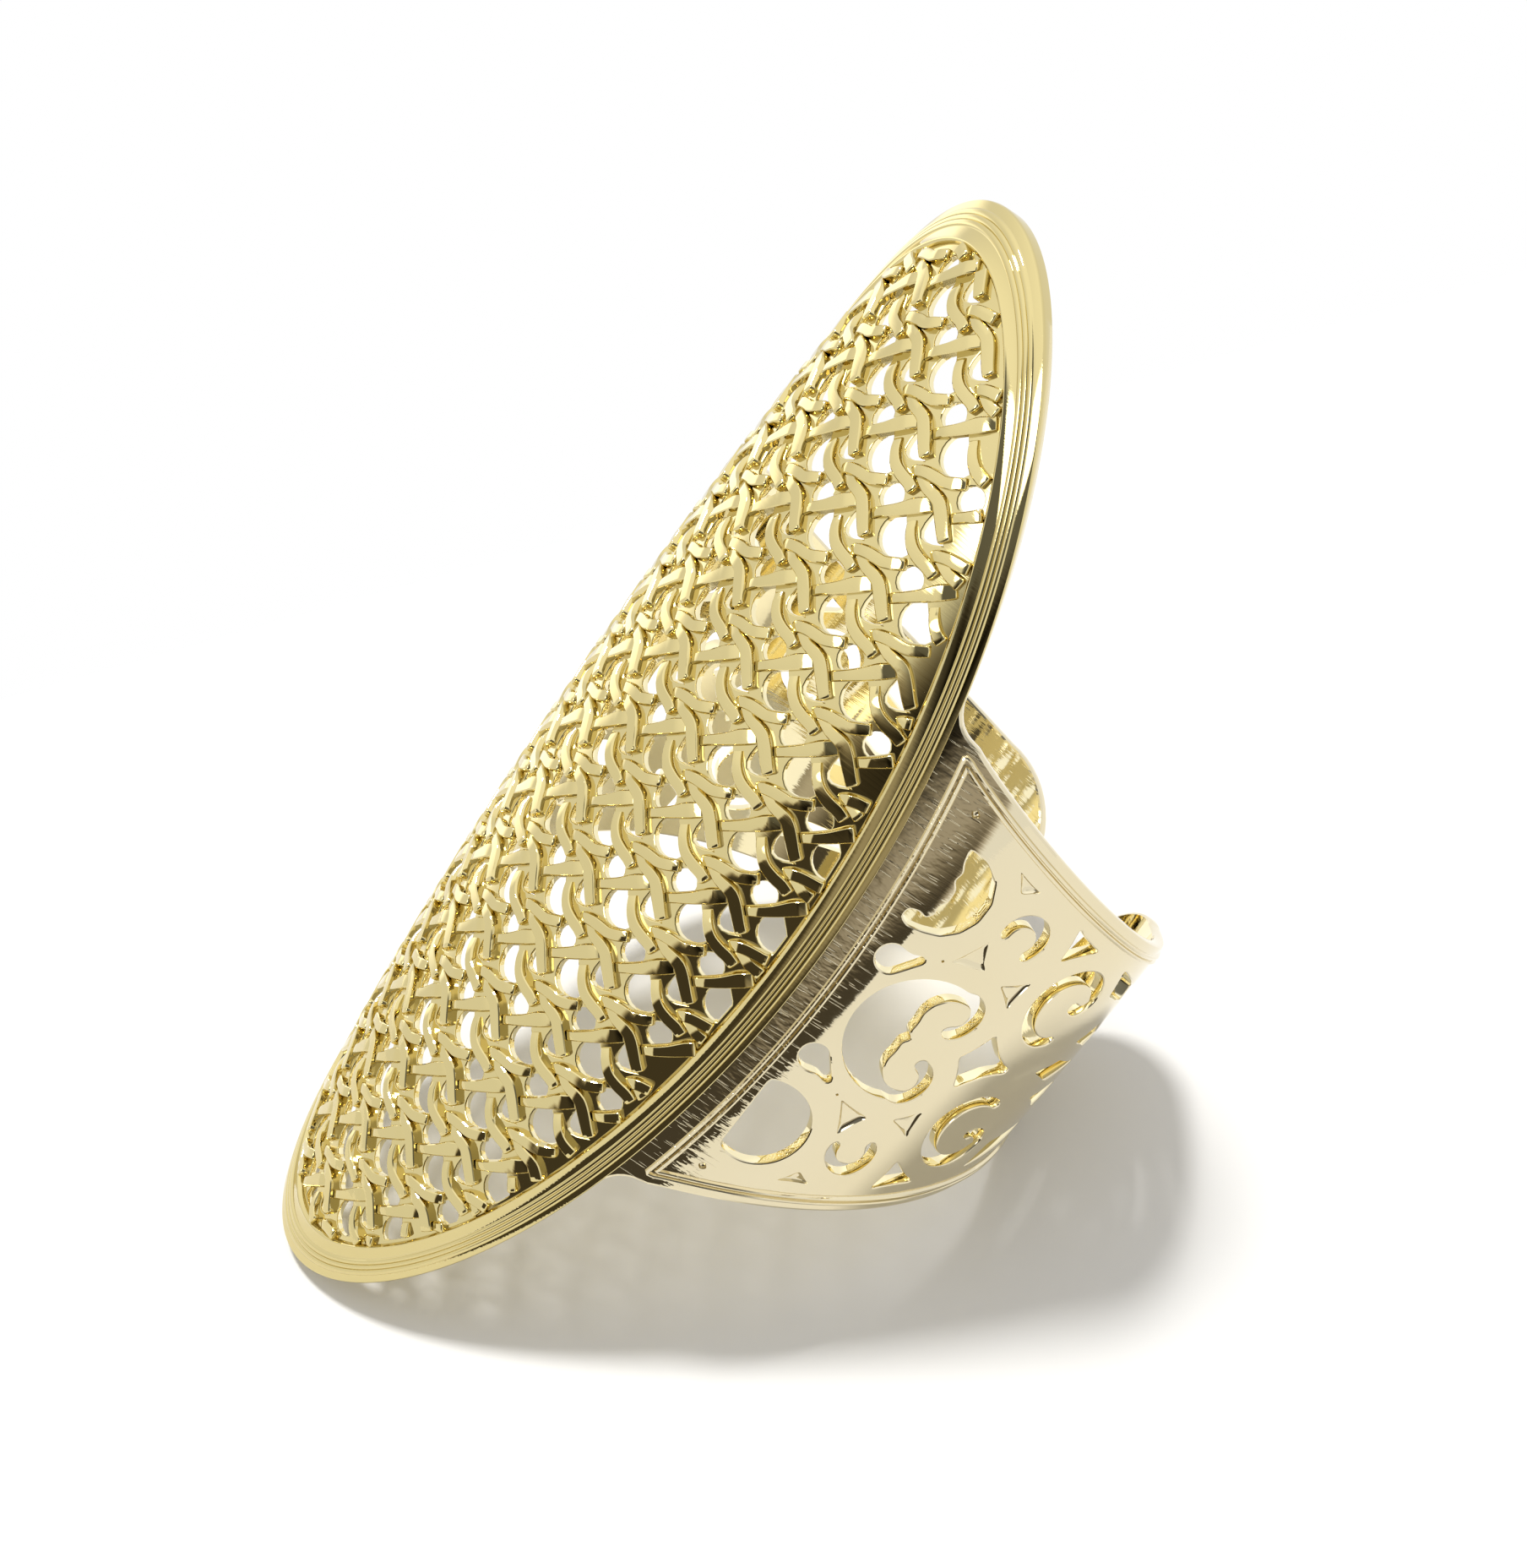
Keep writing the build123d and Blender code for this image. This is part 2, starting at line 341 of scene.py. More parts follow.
# Shader work
class Wire:
    def __init__(self, finish, socket):
        self.finish = finish
        self.socket = socket

    def maths(self, operation, first, second):
        return self.finish.node("ShaderNodeMath", dict(operation=operation), {0: first, 1: second})

    def __add__(self, other):
        return self.maths("ADD", self, other)

    def __radd__(self, other):
        return self.maths("ADD", other, self)

    def __sub__(self, other):
        return self.maths("SUBTRACT", self, other)

    def __rsub__(self, other):
        return self.maths("SUBTRACT", other, self)

    def __mul__(self, other):
        return self.maths("MULTIPLY", self, other)

    def __rmul__(self, other):
        return self.maths("MULTIPLY", other, self)

    def out(self, name):
        return Wire(self.finish, self.socket.node.outputs[name])


class Finish:
    def __init__(self, owner, output="ShaderNodeOutputMaterial"):
        self.owner = owner
        self.output = output
        owner.use_nodes = True
        self.tree = owner.node_tree
        self.tree.nodes.clear()

    def node(self, kind, settings=None, values=None):
        made = self.tree.nodes.new(kind)
        for key, value in (settings or {}).items():
            setattr(made, key, value)
        for key, value in (values or {}).items():
            socket = self.pick(made.inputs, key)
            if isinstance(value, Wire):
                self.tree.links.new(value.socket, socket)
            else:
                socket.default_value = value
        return Wire(self, self.pick(made.outputs)) if made.outputs else None

    def pick(self, sockets, key=0):  # by name or number; 0 is the first one in use
        if key == 0 or isinstance(key, str):
            return next(s for s in sockets if s.enabled and key in (0, s.name))
        return sockets[key]

    def ramp(self, value, span, low=0.0, high=1.0):
        limits = {"From Min": span[0], "From Max": span[1], "To Min": low, "To Max": high}
        smooth = dict(interpolation_type="SMOOTHSTEP")
        return self.node("ShaderNodeMapRange", smooth, {"Value": value, **limits})

    def noise(self, spot, scale, detail):
        return self.node("ShaderNodeTexNoise", None, {"Vector": spot, "Scale": scale, "Detail": detail})

    def streaks(self, spot, scale, detail):
        stretched = self.node("ShaderNodeMapping", None, {"Vector": spot, "Scale": scale})
        return self.noise(stretched, 1.0, detail)

    def bump(self, height, distance, before=None):
        values = {"Height": height, "Strength": 1.0, "Distance": distance}
        if before:
            values["Normal"] = before
        return self.node("ShaderNodeBump", None, values)

    def surface(self, shader):
        self.node(self.output, None, {"Surface": shader})
        return self.owner


goldLook = dict(
    plate=(0.675, 0.575, 0.285),
    wing=(0.765, 0.69, 0.50),
    # paler gold for the sheet's inside and the walls of its holes: painted light that brightens these
    # shaded faces
    inside=(0.95, 0.86, 0.57),
    deeper=(0.95, 0.92, 0.80),  # what the colour is multiplied by where it is deepest
    cloudScale=220.0,
    cloudShare=0.6,
    brushScale=(5.0, 110.0, 1.0),
    roughness=0.02,
    smears=0.025,
    lines=0.01,
    ripple=0.0000012,  # in metres, as are the two depths below
)
# Polishing marks on a wing near the plate, where the sheet is scored and a little uneven
scoring = dict(
    start=(0.85, 0.90),  # round the sheet, on the unrolled map
    stop=(1.02, 1.10),
    scale=(10.0, 150.0, 1.0),
    cut=(0.61, 0.68),
    depth=0.000005,
    mottleScale=(18.0, 40.0, 1.0),
    mottleDepth=0.000012,
)


def goldFinish(name, colour, scored=False):
    finish = Finish(bpy.data.materials.new(name))
    spot = finish.node("ShaderNodeUVMap", dict(uv_map="unrolled"))
    solid = finish.node("ShaderNodeTexCoord").out("Object")
    cloud = finish.noise(solid, goldLook["cloudScale"], 3.0)
    lines = finish.streaks(spot, goldLook["brushScale"], 2.0)
    deeper = [part * share for part, share in zip(colour, goldLook["deeper"])]
    tone = finish.node(
        "ShaderNodeMix",
        dict(data_type="RGBA"),
        {"Factor": cloud * goldLook["cloudShare"], "A": (*colour, 1), "B": (*deeper, 1)},
    )
    rough = goldLook["roughness"] + cloud * goldLook["smears"] + lines * goldLook["lines"]
    bumps = finish.bump(lines + cloud, goldLook["ripple"])
    if scored:
        across = finish.node("ShaderNodeSeparateXYZ", None, {0: spot})
        root = finish.ramp(across, scoring["start"]) * finish.ramp(across, scoring["stop"], 1.0, 0.0)
        marks = finish.streaks(spot, scoring["scale"], 1.0)
        cuts = finish.ramp(marks, scoring["cut"]) * scoring["depth"]
        mottle = finish.streaks(spot, scoring["mottleScale"], 2.0) * scoring["mottleDepth"]
        bumps = finish.bump((cuts + mottle) * root, 1.0, bumps)
    shader = finish.node(
        "ShaderNodeBsdfPrincipled",
        None,
        {"Base Color": tone, "Metallic": 1.0, "Roughness": rough, "Normal": bumps},
    )
    return finish.surface(shader)


plateGold = goldFinish("plateGold", goldLook["plate"])
wingGold = goldFinish("wingGold", goldLook["wing"], scored=True)
# A paler copy of the gold for the sheet's inside and hole walls: painted light, since these faces would
# render darker
paintedLightInsideGold = goldFinish("paintedLightInsideGold", goldLook["inside"])
print("finishes made")

# Rim of the plate. Its profile has shares of its width from the outside in, with heights.
rim = dict(
    sideWidth=0.95,
    tipWidth=1.35,
    steps=240,
    slope=0.1,  # share of its width by which its inner side slopes back below the field
    sharp=30,
    profile=[
        (0.10, -0.55), (0.03, -0.52), (0.0, -0.46), (0.0, -0.10), (0.012, -0.03), (0.035, 0.004),
        (0.06, 0.01), (0.22, 0.012),  # outer flat
        (0.24, 0.04), (0.26, 0.055), (0.29, 0.062), (0.33, 0.062), (0.36, 0.052), (0.375, 0.03),
        (0.39, 0.052), (0.42, 0.064), (0.46, 0.064), (0.49, 0.052), (0.505, 0.03),
        (0.52, 0.052), (0.55, 0.062), (0.59, 0.062), (0.62, 0.052), (0.64, 0.025),
        (0.66, 0.012), (0.90, 0.032),  # inner flat, after the three reeds
        (0.915, 0.04), (0.94, 0.05), (0.965, 0.04), (0.98, 0.02), (1.0, -0.01), (1.02, -0.05),
        (1.04, -0.12),
    ],
)
fieldEdge = rim["profile"][-1][0]
fieldSheet = dict(ground=-0.12, underside=-0.34)  # the woven field is thinner than the rim


def rimLoop(share):
    side = halfWidth - rim["sideWidth"] * share
    tip = halfLength - rim["tipWidth"] * share
    turns = [-2 * pi * n / rim["steps"] for n in range(rim["steps"])]
    return [(side * sin(t), tip * cos(t)) for t in turns]


def makeRim():
    maker = Maker("plateRim")
    rings = [maker.ring(rimLoop(share), height) for share, height in rim["profile"]]
    rings.append(maker.ring(rimLoop(fieldEdge), fieldSheet["underside"]))
    rings.append(maker.ring(rimLoop(fieldEdge - rim["slope"]), -ringShape["thickness"]))
    rings.append(rings[0])
    for first, second in zip(rings, rings[1:]):
        maker.bridge(first, second)
    maker.build(plateGold, sharp=rim["sharp"])


makeRim()

# Weave of the field. All places are from the middle of the bar of a cell.
weave = dict(
    columnPitch=1.995,
    rowPitch=2.56,
    columnStep=1.235,  # how much further along each column starts
    firstColumn=1.886,
    firstRow=-0.06,
    columns=(-7, 7),
    rows=(-14, 15),
    high=0.08,
    low=-0.09,
    shift=0.04,
    foot=0.03,  # how deep the strands stand in the field
    skirt=0.02,
    bevel=0.03,
    crown=0.006,
    tail=((0.03, 0.02, 0.01), (0.05, 0.05, 0.04), (0.065, 0.09, 0.09)),  # on, slimmer, lower
    step=0.12,
    margin=0.06,
    fewest=4,  # points that a strand needs inside the rim to be made
    sharp=40,
)
# Each strand comes out from under one neighbour, climbs, and ends over the next:
# around, along, width, and height as a share
strands = dict(
    bar=[
        (-0.72, -0.60, 0.28, 0.3),
        (-0.45, -0.37, 0.29, 0.9),
        (-0.11, -0.07, 0.34, 1.0),
        (0.24, 0.29, 0.43, 1.0),
        (0.40, 0.43, 0.42, 0.99),
        (0.60, 0.61, 0.40, 0.60),
    ],
    shoulder=[
        (-0.24, 0.96, 0.32, 0.2),
        (0.17, 0.84, 0.33, 0.8),
        (0.44, 0.83, 0.34, 1.0),
        (0.72, 0.78, 0.37, 1.0),
        (0.98, 0.59, 0.39, 1.0),
        (1.35, 0.25, 0.36, 1.0),
        (1.52, 0.11, 0.34, 1.0),
    ],
    curve=[
        (-0.52, -1.68, 0.30, 0.2),
        (-0.40, -1.56, 0.32, 0.7),
        (-0.12, -1.44, 0.33, 0.95),
        (0.20, -1.37, 0.33, 1.0),
        (0.50, -1.32, 0.33, 1.0),
        (0.77, -1.18, 0.33, 1.0),
        (1.00, -1.03, 0.31, 0.66),
    ],
    sweep=[
        (0.40, -0.06, 0.28, 0.2),
        (0.56, -0.24, 0.28, 0.7),
        (0.76, -0.43, 0.30, 0.95),
        (1.00, -0.58, 0.33, 1.0),
        (1.32, -0.66, 0.35, 1.0),
        (1.64, -0.69, 0.35, 1.0),
        (1.86, -0.76, 0.33, 1.0),
    ],
)


def fieldReach(x, y, margin):  # share of the way from the plate's middle to the field's edge
    side = halfWidth - rim["sideWidth"] * fieldEdge - margin
    tip = halfLength - rim["tipWidth"] * fieldEdge - margin
    return sqrt((x / side) ** 2 + (y / tip) ** 2)


def cells():
    for column in range(*weave["columns"]):
        for row in range(*weave["rows"]):
            yield (
                weave["firstColumn"] + column * weave["columnPitch"],
                weave["firstRow"] + column * weave["columnStep"] + row * weave["rowPitch"],
            )


def curveValue(p, q, r, s, t):
    square = (2 * p - 5 * q + 4 * r - s) * t * t
    cube = (3 * q - p - 3 * r + s) * t**3
    return 0.5 * (2 * q + (r - p) * t + square + cube)


def curveThrough(points, step=drawStep):
    result = []
    for n in range(len(points) - 1):
        a = points[max(n - 1, 0)]
        b = points[n]
        c = points[n + 1]
        d = points[min(n + 2, len(points) - 1)]
        count = max(2, round(hypot(c[0] - b[0], c[1] - b[1]) / step))
        for m in range(count):
            result.append(tuple(curveValue(*parts, m / count) for parts in zip(a, b, c, d)))
    result.append(points[-1])
    return result


def makeStrand(maker, line):
    bevel = weave["bevel"]
    foot = fieldSheet["ground"] - weave["foot"]
    last = line[-1]
    ahead = (last[0] - line[-2][0], last[1] - line[-2][1])
    run = hypot(*ahead)
    for forward, slimmer, drop in weave["tail"]:  # the far end rolls over
        spot = (last[0] + ahead[0] / run * forward, last[1] + ahead[1] / run * forward)
        line.append((*spot, last[2] - slimmer, last[3] - drop))
    rings = []
    for n, (x, y, width, height) in enumerate(line):
        side = sideways(line[max(n - 1, 0)], line[min(n + 1, len(line) - 1)])
        half = width / 2
        section = [(-half - weave["skirt"], foot), (-half, height - bevel), (bevel - half, height)]
        section.append((0, height + weave["crown"]))
        section += [(-s, h) for s, h in section[2::-1]]
        rings.append([maker.point((x + side[0] * s, y + side[1] * s, h)) for s, h in section])
    for first, second in zip(rings, rings[1:]):
        for n in range(len(first)):
            m = (n + 1) % len(first)
            maker.faces.append((first[n], first[m], second[m], second[n]))
    maker.faces.append(tuple(rings[0][::-1]))
    maker.faces.append(tuple(rings[-1]))


def makeWeave():
    maker = Maker("weaveStrands")
    for column, row in cells():
        for points in strands.values():
            kept = []
            for x, y, width, share in curveThrough(points, weave["step"]):
                spot = (column + x + weave["shift"], row + y + weave["shift"])
                if fieldReach(*spot, weave["margin"]) < 1:
                    kept.append((*spot, width, weave["low"] + (weave["high"] - weave["low"]) * share))
                elif kept:
                    break
            if len(kept) >= weave["fewest"]:
                makeStrand(maker, kept)
    maker.build(plateGold, sharp=weave["sharp"])


makeWeave()

# Gaps of the weave in the sheet under it
gaps = dict(
    halfMoon=dict(at=(0.37, -0.56), radius=0.58, flat=0.24, turn=45),
    eye=dict(at=(-0.56, 0.10), radius=0.38, start=0, stop=336, step=0.14),
    crescent=dict(start=(0.80, 0.47), stop=(1.57, 0.0), bulge=0.50, parts=6),
    step=0.16,
    margin=0.1,
    apart=0.03,  # least distance between the points of a gap
    fewest=6,  # points that a gap cut short by the rim needs to be kept
    smallest=0.05,  # area that it needs, in square millimetres
    edge=0.035,
    grid=(0.6, 1.2),
)


def gapOutlines():
    moon = gaps["halfMoon"]
    turn = moon["turn"]
    half = degrees(acos(moon["flat"] / moon["radius"]))
    halfMoon = arc(moon["at"], moon["radius"], turn + half, turn + 360 - half, gaps["step"])
    start = gaps["crescent"]["start"]
    stop = gaps["crescent"]["stop"]
    side = sideways(start, stop)
    crescent = []
    for n in range(gaps["crescent"]["parts"] + 1):
        share = n / gaps["crescent"]["parts"]
        depth = gaps["crescent"]["bulge"] * 4 * share * (1 - share)
        crescent.append(tuple(a + (b - a) * share + s * depth for a, b, s in zip(start, stop, side)))
    return [
        anticlockwise(resample(halfMoon, gaps["step"])),
        arc(**gaps["eye"]),
        anticlockwise(resample(crescent, gaps["step"])),
    ]


def clipToField(outline):
    result = []
    for x, y in outline:
        reach = max(1, fieldReach(x, y, gaps["margin"]))
        x, y = x / reach, y / reach
        if not result or hypot(x - result[-1][0], y - result[-1][1]) > gaps["apart"]:
            result.append((x, y))
    return result


def makeField():
    maker = Maker("weaveGround")
    holes = []
    for cell in cells():
        for outline in gapOutlines():
            shape = moved(outline, cell)
            if fieldReach(*middleOf(shape), gaps["margin"]) < 1:
                shape = clipToField(shape)
                if len(shape) >= gaps["fewest"] and area(shape) > gaps["smallest"]:
                    holes.append(shape)
    outline = anticlockwise(rimLoop(fieldEdge))
    top = [offset(h, gaps["edge"]) for h in holes]
    under = [offset(h, gaps["edge"] * roundedEdge["inner"]) for h in holes]
    maker.sheet(outline, top, fieldSheet["ground"], 1, gaps["grid"])
    maker.sheet(outline, under, fieldSheet["underside"], -1, gaps["grid"])
    for hole in holes:
        maker.hole(hole, gaps["edge"], fieldSheet["ground"], fieldSheet["underside"])
    maker.build(plateGold, paintedLightInsideGold)


makeField()

# Wings of the band
wing = dict(
    length=18.45,
    rootWidth=15.7,
    endWidth=7.6,
    taper=1.7,
    endRound=3.6,
    rootFlare=0.8,
    flareReach=0.35,
    rimOverlap=0.475,
    edge=0.09,
    holeEdge=0.05,
    margin=0.03,  # keeps the mesh inside the box of the solid
    underside=-0.40,
    step=0.2,
    firstStep=0.25,
    crowding=1.3,  # more than 1 draws the edge's points together at the root
    cornerStep=6,  # in degrees
    grid=(0.4, 0.8),
)


def ovalSide(along, inset=0.0):
    return (halfWidth - inset) * sqrt(1 - (along / (halfLength - inset)) ** 2)


wingStop = halfWidth + wing["length"]
wingStart = ovalSide(wing["rootWidth"] / 2 + wing["rootFlare"])


def wingHalf(around):
    share = min(max((around - halfWidth) / wing["length"], 0), 1)
    taper = (wing["rootWidth"] - wing["endWidth"]) / 2 * (1 - share) ** wing["taper"]
    flare = wing["rootFlare"] * exp(-(around - wingStart) / wing["flareReach"])
    return wing["endWidth"] / 2 + taper + flare


def wingOutline(inset, root, start, top, step):
    roundOff = wing["endRound"] - inset
    bend = wingStop - inset - roundOff
    edge = []
    count = int((bend - start) / step)
    for n in range(count + 1):
        x = start + (bend - start) * (n / count) ** wing["crowding"]
        edge.append((x, top if n == 0 else wingHalf(x) - inset))
    last = edge[-1][1]
    corner = [
        (bend + roundOff * sin(radians(a)), last - roundOff * (1 - cos(radians(a))))
        for a in range(wing["cornerStep"], 91, wing["cornerStep"])
    ]
    upper = edge + corner
    count = int(2 * top / step)
    side = [top * (2 * n / count - 1) for n in range(1, count)]
    return anticlockwise(upper + mirrored(upper) + [(ovalSide(y, root), y) for y in side])


def wholeWing():
    top = wing["rootWidth"] / 2 + wing["rootFlare"] - wing["margin"]
    loop = wingOutline(wing["margin"], wing["rimOverlap"], wingStart, top, wing["firstStep"])
    return resample(loop, wing["step"])


# Scrolls cut through a wing, above its middle line and on it
scrolls = dict(
    moon=dict(at=(13.95, 4.0), radius=0.6, start=-50, stop=190),
    moonWidths=(0.30, 0.42, 0.24),
    spiral=dict(at=(17.25, 2.35), radius=1.2, start=295, stop=20),
    spiralEnd=[(18.30, 2.60), (18.08, 2.42), (17.78, 2.39), (17.50, 2.50)],
    spiralWidths=(0.26, 0.48, 0.46, 0.32),
    endReach=1.2,  # how far the end of a channel runs on, in steps of its line
    commaHead=dict(at=(11.1, 1.8), radius=0.45, start=60, stop=300),
    commaTail=[(11.75, 1.95), (11.95, 2.2), (11.8, 2.32), (11.55, 2.2)],
    triangle=dict(corners=[(15.42, 4.95), (16.80, 4.42), (15.58, 3.78)], bow=0.06, passes=3),
    slot=dict(
        corners=[(18.9, 3.9), (20.6, 3.3), (22.6, 2.6), (22.4, 2.1), (20.4, 2.6), (19.3, 2.9)],
        bow=0.04,
    ),
    rear=dict(corners=[(19.6, 1.1), (20.7, 1.7), (21.9, 1.0), (20.8, 0.75)], bow=0.05),
    halfDisc=dict(at=(11.07, 4.28), radius=1.38, flat=-0.57),
    square=dict(
        corners=[
            (14.82, 0.05), (15.42, -0.95), (16.2, -0.30), (16.9, -0.08), (16.9, 0.08),
            (16.3, 0.32), (15.42, 1.05),
        ],
        bow=0.05,
    ),
    leaf=dict(corners=[(18.4, 0.0), (19.5, 0.4), (21.4, 0.0), (19.5, -0.4)], bow=0.04),
)
# The half disc nearer the raised tip is cut as a crescent with a ragged inner side
raggedCrescent = [
    (11.00, 5.52), (11.60, 5.45), (12.12, 5.10), (12.42, 4.50), (12.42, 3.90), (12.18, 3.40),
    (11.78, 3.06), (11.30, 2.92), (10.85, 2.86), (10.60, 2.98), (10.62, 3.26), (10.90, 3.34),
    (11.14, 3.26), (11.32, 3.46), (11.26, 3.72), (11.42, 4.00), (11.38, 4.36), (11.18, 4.58),
    (11.26, 4.86), (11.10, 5.12),
]
# The large crescent on the middle line, whose ends curl in as hooks, about its own centre
hooked = dict(
    centre=(13.2, 0),
    radius=2.0,
    hookAt=(0.6, 1.21),
    hookOuter=0.8,
    hookInner=0.41,
    hookTip=-80,  # degrees, where the hook ends
    hookBack=84,  # degrees, where it leaves the large circle
    join=4,  # degrees on the large circle from over the hook's middle to where they meet
    face=[(-0.34, 0.16), (-0.30, 0.50), (-0.36, 0.85), (-0.26, 1.20), (0.02, 1.50), (0.3, 1.60)],
    notch=(-0.12, 0.0),
)


def channel(line, widths):
    left = []
    right = []
    for n, (x, y) in enumerate(line):
        side = sideways(line[max(n - 1, 0)], line[min(n + 1, len(line) - 1)])
        share = n / (len(line) - 1) * (len(widths) - 1)
        lower = min(int(share), len(widths) - 2)
        half = (widths[lower] + (widths[lower + 1] - widths[lower]) * (share - lower)) / 2
        left.append((x - side[0] * half, y - side[1] * half))
        right.append((x + side[0] * half, y + side[1] * half))
    ends = []
    for last, before in ((line[-1], line[-2]), (line[0], line[1])):
        ends.append([tuple(a + (a - b) * scrolls["endReach"] for a, b in zip(last, before))])
    return anticlockwise(soften(resample(left + ends[0] + right[::-1] + ends[1]), 1))


def halfDisc(at, radius, flat):
    half = degrees(acos(flat / radius))
    return anticlockwise(soften(resample(arc(at, radius, -half, half)), 2))


def hookedCrescent():
    at = hooked["hookAt"]
    tip = hooked["hookTip"]
    meet = degrees(acos(at[0] / hooked["radius"])) + hooked["join"]
    outer = arc(at, hooked["hookOuter"], tip, hooked["hookBack"])
    outer += arc((0, 0), hooked["radius"], meet, 180)[:-1]
    face = hooked["face"] + arc(at, hooked["hookInner"], 90, tip)
    middle = (hooked["hookOuter"] + hooked["hookInner"]) / 2
    tipAt = (at[0] + middle * cos(radians(tip)), at[1] + middle * sin(radians(tip)))
    cap = arc(tipAt, (hooked["hookOuter"] - hooked["hookInner"]) / 2, tip + 180, tip + 360)[1:-1]
    upper = [hooked["notch"]] + face + cap
    loop = outer + mirrored(outer) + mirrored(face + cap) + upper
    return anticlockwise(soften(resample(moved(loop, hooked["centre"])), 2))


def scrollOutlines():
    spiral = arc(**scrolls["spiral"]) + curveThrough(scrolls["spiralEnd"])
    comma = arc(**scrolls["commaHead"]) + scrolls["commaTail"]
    both = [
        channel(arc(**scrolls["moon"]), scrolls["moonWidths"]),
        channel(spiral, scrolls["spiralWidths"]),
        soften(resample(comma), 2),
        bowedCorners(**scrolls["triangle"]),
        bowedCorners(**scrolls["slot"]),
        bowedCorners(**scrolls["rear"]),
    ]
    loops = both + [mirrored(loop) for loop in both]
    loops += [soften(resample(raggedCrescent), 1), mirrored(halfDisc(**scrolls["halfDisc"]))]
    loops += [hookedCrescent(), bowedCorners(**scrolls["square"]), bowedCorners(**scrolls["leaf"])]
    return [anticlockwise(loop) for loop in loops]


# Dents pressed into a wing beside the scrolls, above its middle line
dents = dict(
    depth=0.11,
    steps=((0.89, 0.5), (0.65, 0.85), (0.30, 1.0)),  # shares of the outline and of the depth
    bow=0.03,
    step=0.09,
    shapes=[
        [(13.12, 3.62), (13.60, 2.72), (12.50, 2.52)],
        [(14.30, 2.52), (15.22, 2.95), (15.08, 1.90)],
        [(12.50, 5.72), (13.50, 5.42), (12.95, 5.12)],
        [(10.32, 6.4), (10.5, 6.56), (10.70, 6.4), (10.5, 6.22)],
        [(12.24, 2.46), (12.32, 2.54), (12.40, 2.46), (12.32, 2.38)],
    ],
)


def dentOutlines():
    loops = [
        anticlockwise(bowedCorners(corners, dents["bow"], dents["step"]))
        for corners in dents["shapes"]
    ]
    return loops + [mirrored(loop) for loop in loops]


def makeDent(maker, outline):
    middle = middleOf(outline)
    rings = [maker.ring(outline, 0)]
    for share, depth in dents["steps"]:
        drawn = [tuple(m + (a - m) * share for a, m in zip(spot, middle)) for spot in outline]
        rings.append(maker.ring(drawn, -dents["depth"] * depth))
    for first, second in zip(rings, rings[1:]):
        maker.bridge(first, second)
    maker.faces.append(tuple(rings[-1]))


# The double bead that frames a wing, at distances from the plate's edge and from the wing's
bead = dict(root=(0.58, 0.76), inset=(0.40, 0.58), width=0.08, height=0.09, foot=-0.02, shoulder=(0.5, 0.8))


def makeBead(maker, inset, fromPlate):
    top = wing["rootWidth"] / 2 - inset
    path = wingOutline(inset, -fromPlate, ovalSide(top, -fromPlate), top, wing["step"])
    beside = bead["width"] * bead["shoulder"][0]
    level = bead["height"] * bead["shoulder"][1]
    section = [(-bead["width"], bead["foot"]), (-beside, level), (0, bead["height"])]
    section += [(beside, level), (bead["width"], bead["foot"])]
    rings = [maker.ring(offset(path, -across), height) for across, height in section]
    for first, second in zip(rings, rings[1:] + rings[:1]):
        maker.bridge(first, second)


def makeWing(name, side):
    maker = Maker(name, side)
    outline = wholeWing()
    drawnIn = offset(outline, -wing["edge"])
    holes = scrollOutlines()
    pressed = dentOutlines()
    top = [offset(h, wing["holeEdge"]) for h in holes] + pressed
    under = [offset(h, wing["holeEdge"] * roundedEdge["inner"]) for h in holes]
    maker.sheet(drawnIn, top, 0, 1, wing["grid"])
    maker.sheet(drawnIn, under, wing["underside"], -1, wing["grid"])
    maker.wall(outline, wing["edge"], 0, wing["underside"])
    for hole in holes:
        maker.hole(hole, wing["holeEdge"], 0, wing["underside"])
    for dent in pressed:
        makeDent(maker, dent)
    for inset, fromPlate in zip(bead["inset"], bead["root"]):
        makeBead(maker, inset, fromPlate)
    maker.build(wingGold, paintedLightInsideGold)


makeWing("wingRight", 1)
makeWing("wingLeft", -1)

# Floor, with corners in metres. Its edges lie outside the picture and are mirrored in the wing.
floorLook = dict(
    corners=[
        (-0.034, -0.080), (0.022, -0.080), (0.022, -0.018), (0.034, -0.0175), (0.044, -0.012),
        (0.075, -0.0115), (0.075, 0.080), (-0.034, 0.080),
    ],
    tone=(0.80, 0.79, 0.77, 1),
    grain=400.0,
    roughness=0.5,
    smears=0.1,
)
# Light. A span is where a patch comes in and where it is whole, and a top is where it starts
# to fade upwards and where it ends.
studio = dict(
    fill=0.65,  # light on all that doesn't mirror it
    dome=(1.0, 1.3),  # what the gold mirrors, low down and overhead
    domeSpan=(0.3, 0.95),
    dark=0.93,  # how much a dark card low on one side takes away
    brown=0.56,  # the same at the card's near end, over the floor
    cardWay=(0.766, -0.643),
    cardSpan=(0.84, 0.875),
    cardTop=(0.34, 0.54),
    cardTone=(1.0, 0.82, 0.56, 1),
    brownSide=(0.80, 0.92),
    brownRise=(-0.18, -0.02),
    lampWay=(0.38, -0.60, 0.70),
    lampSpan=(0.975, 0.987),
    lampPower=5.0,
    hoodWay=(0.742, -0.221, 0.632),  # towards the dark room behind the camera
    hoodSpan=(0.79, 0.91),
    hoodDark=0.85,
    glowWay=(-0.97, -0.25),  # extra light low on the far side, where the plate turns away
    glowSpan=(0.88, 0.985),
    glowTop=(0.15, 0.35),
    glow=0.9,
    laterMirrors=0.55,  # share of the dark and the lamp that a second mirroring shows
    sun=2.4,
    sunSpread=11,
    sunFrom=(-0.29, -0.03, 0.95),
)


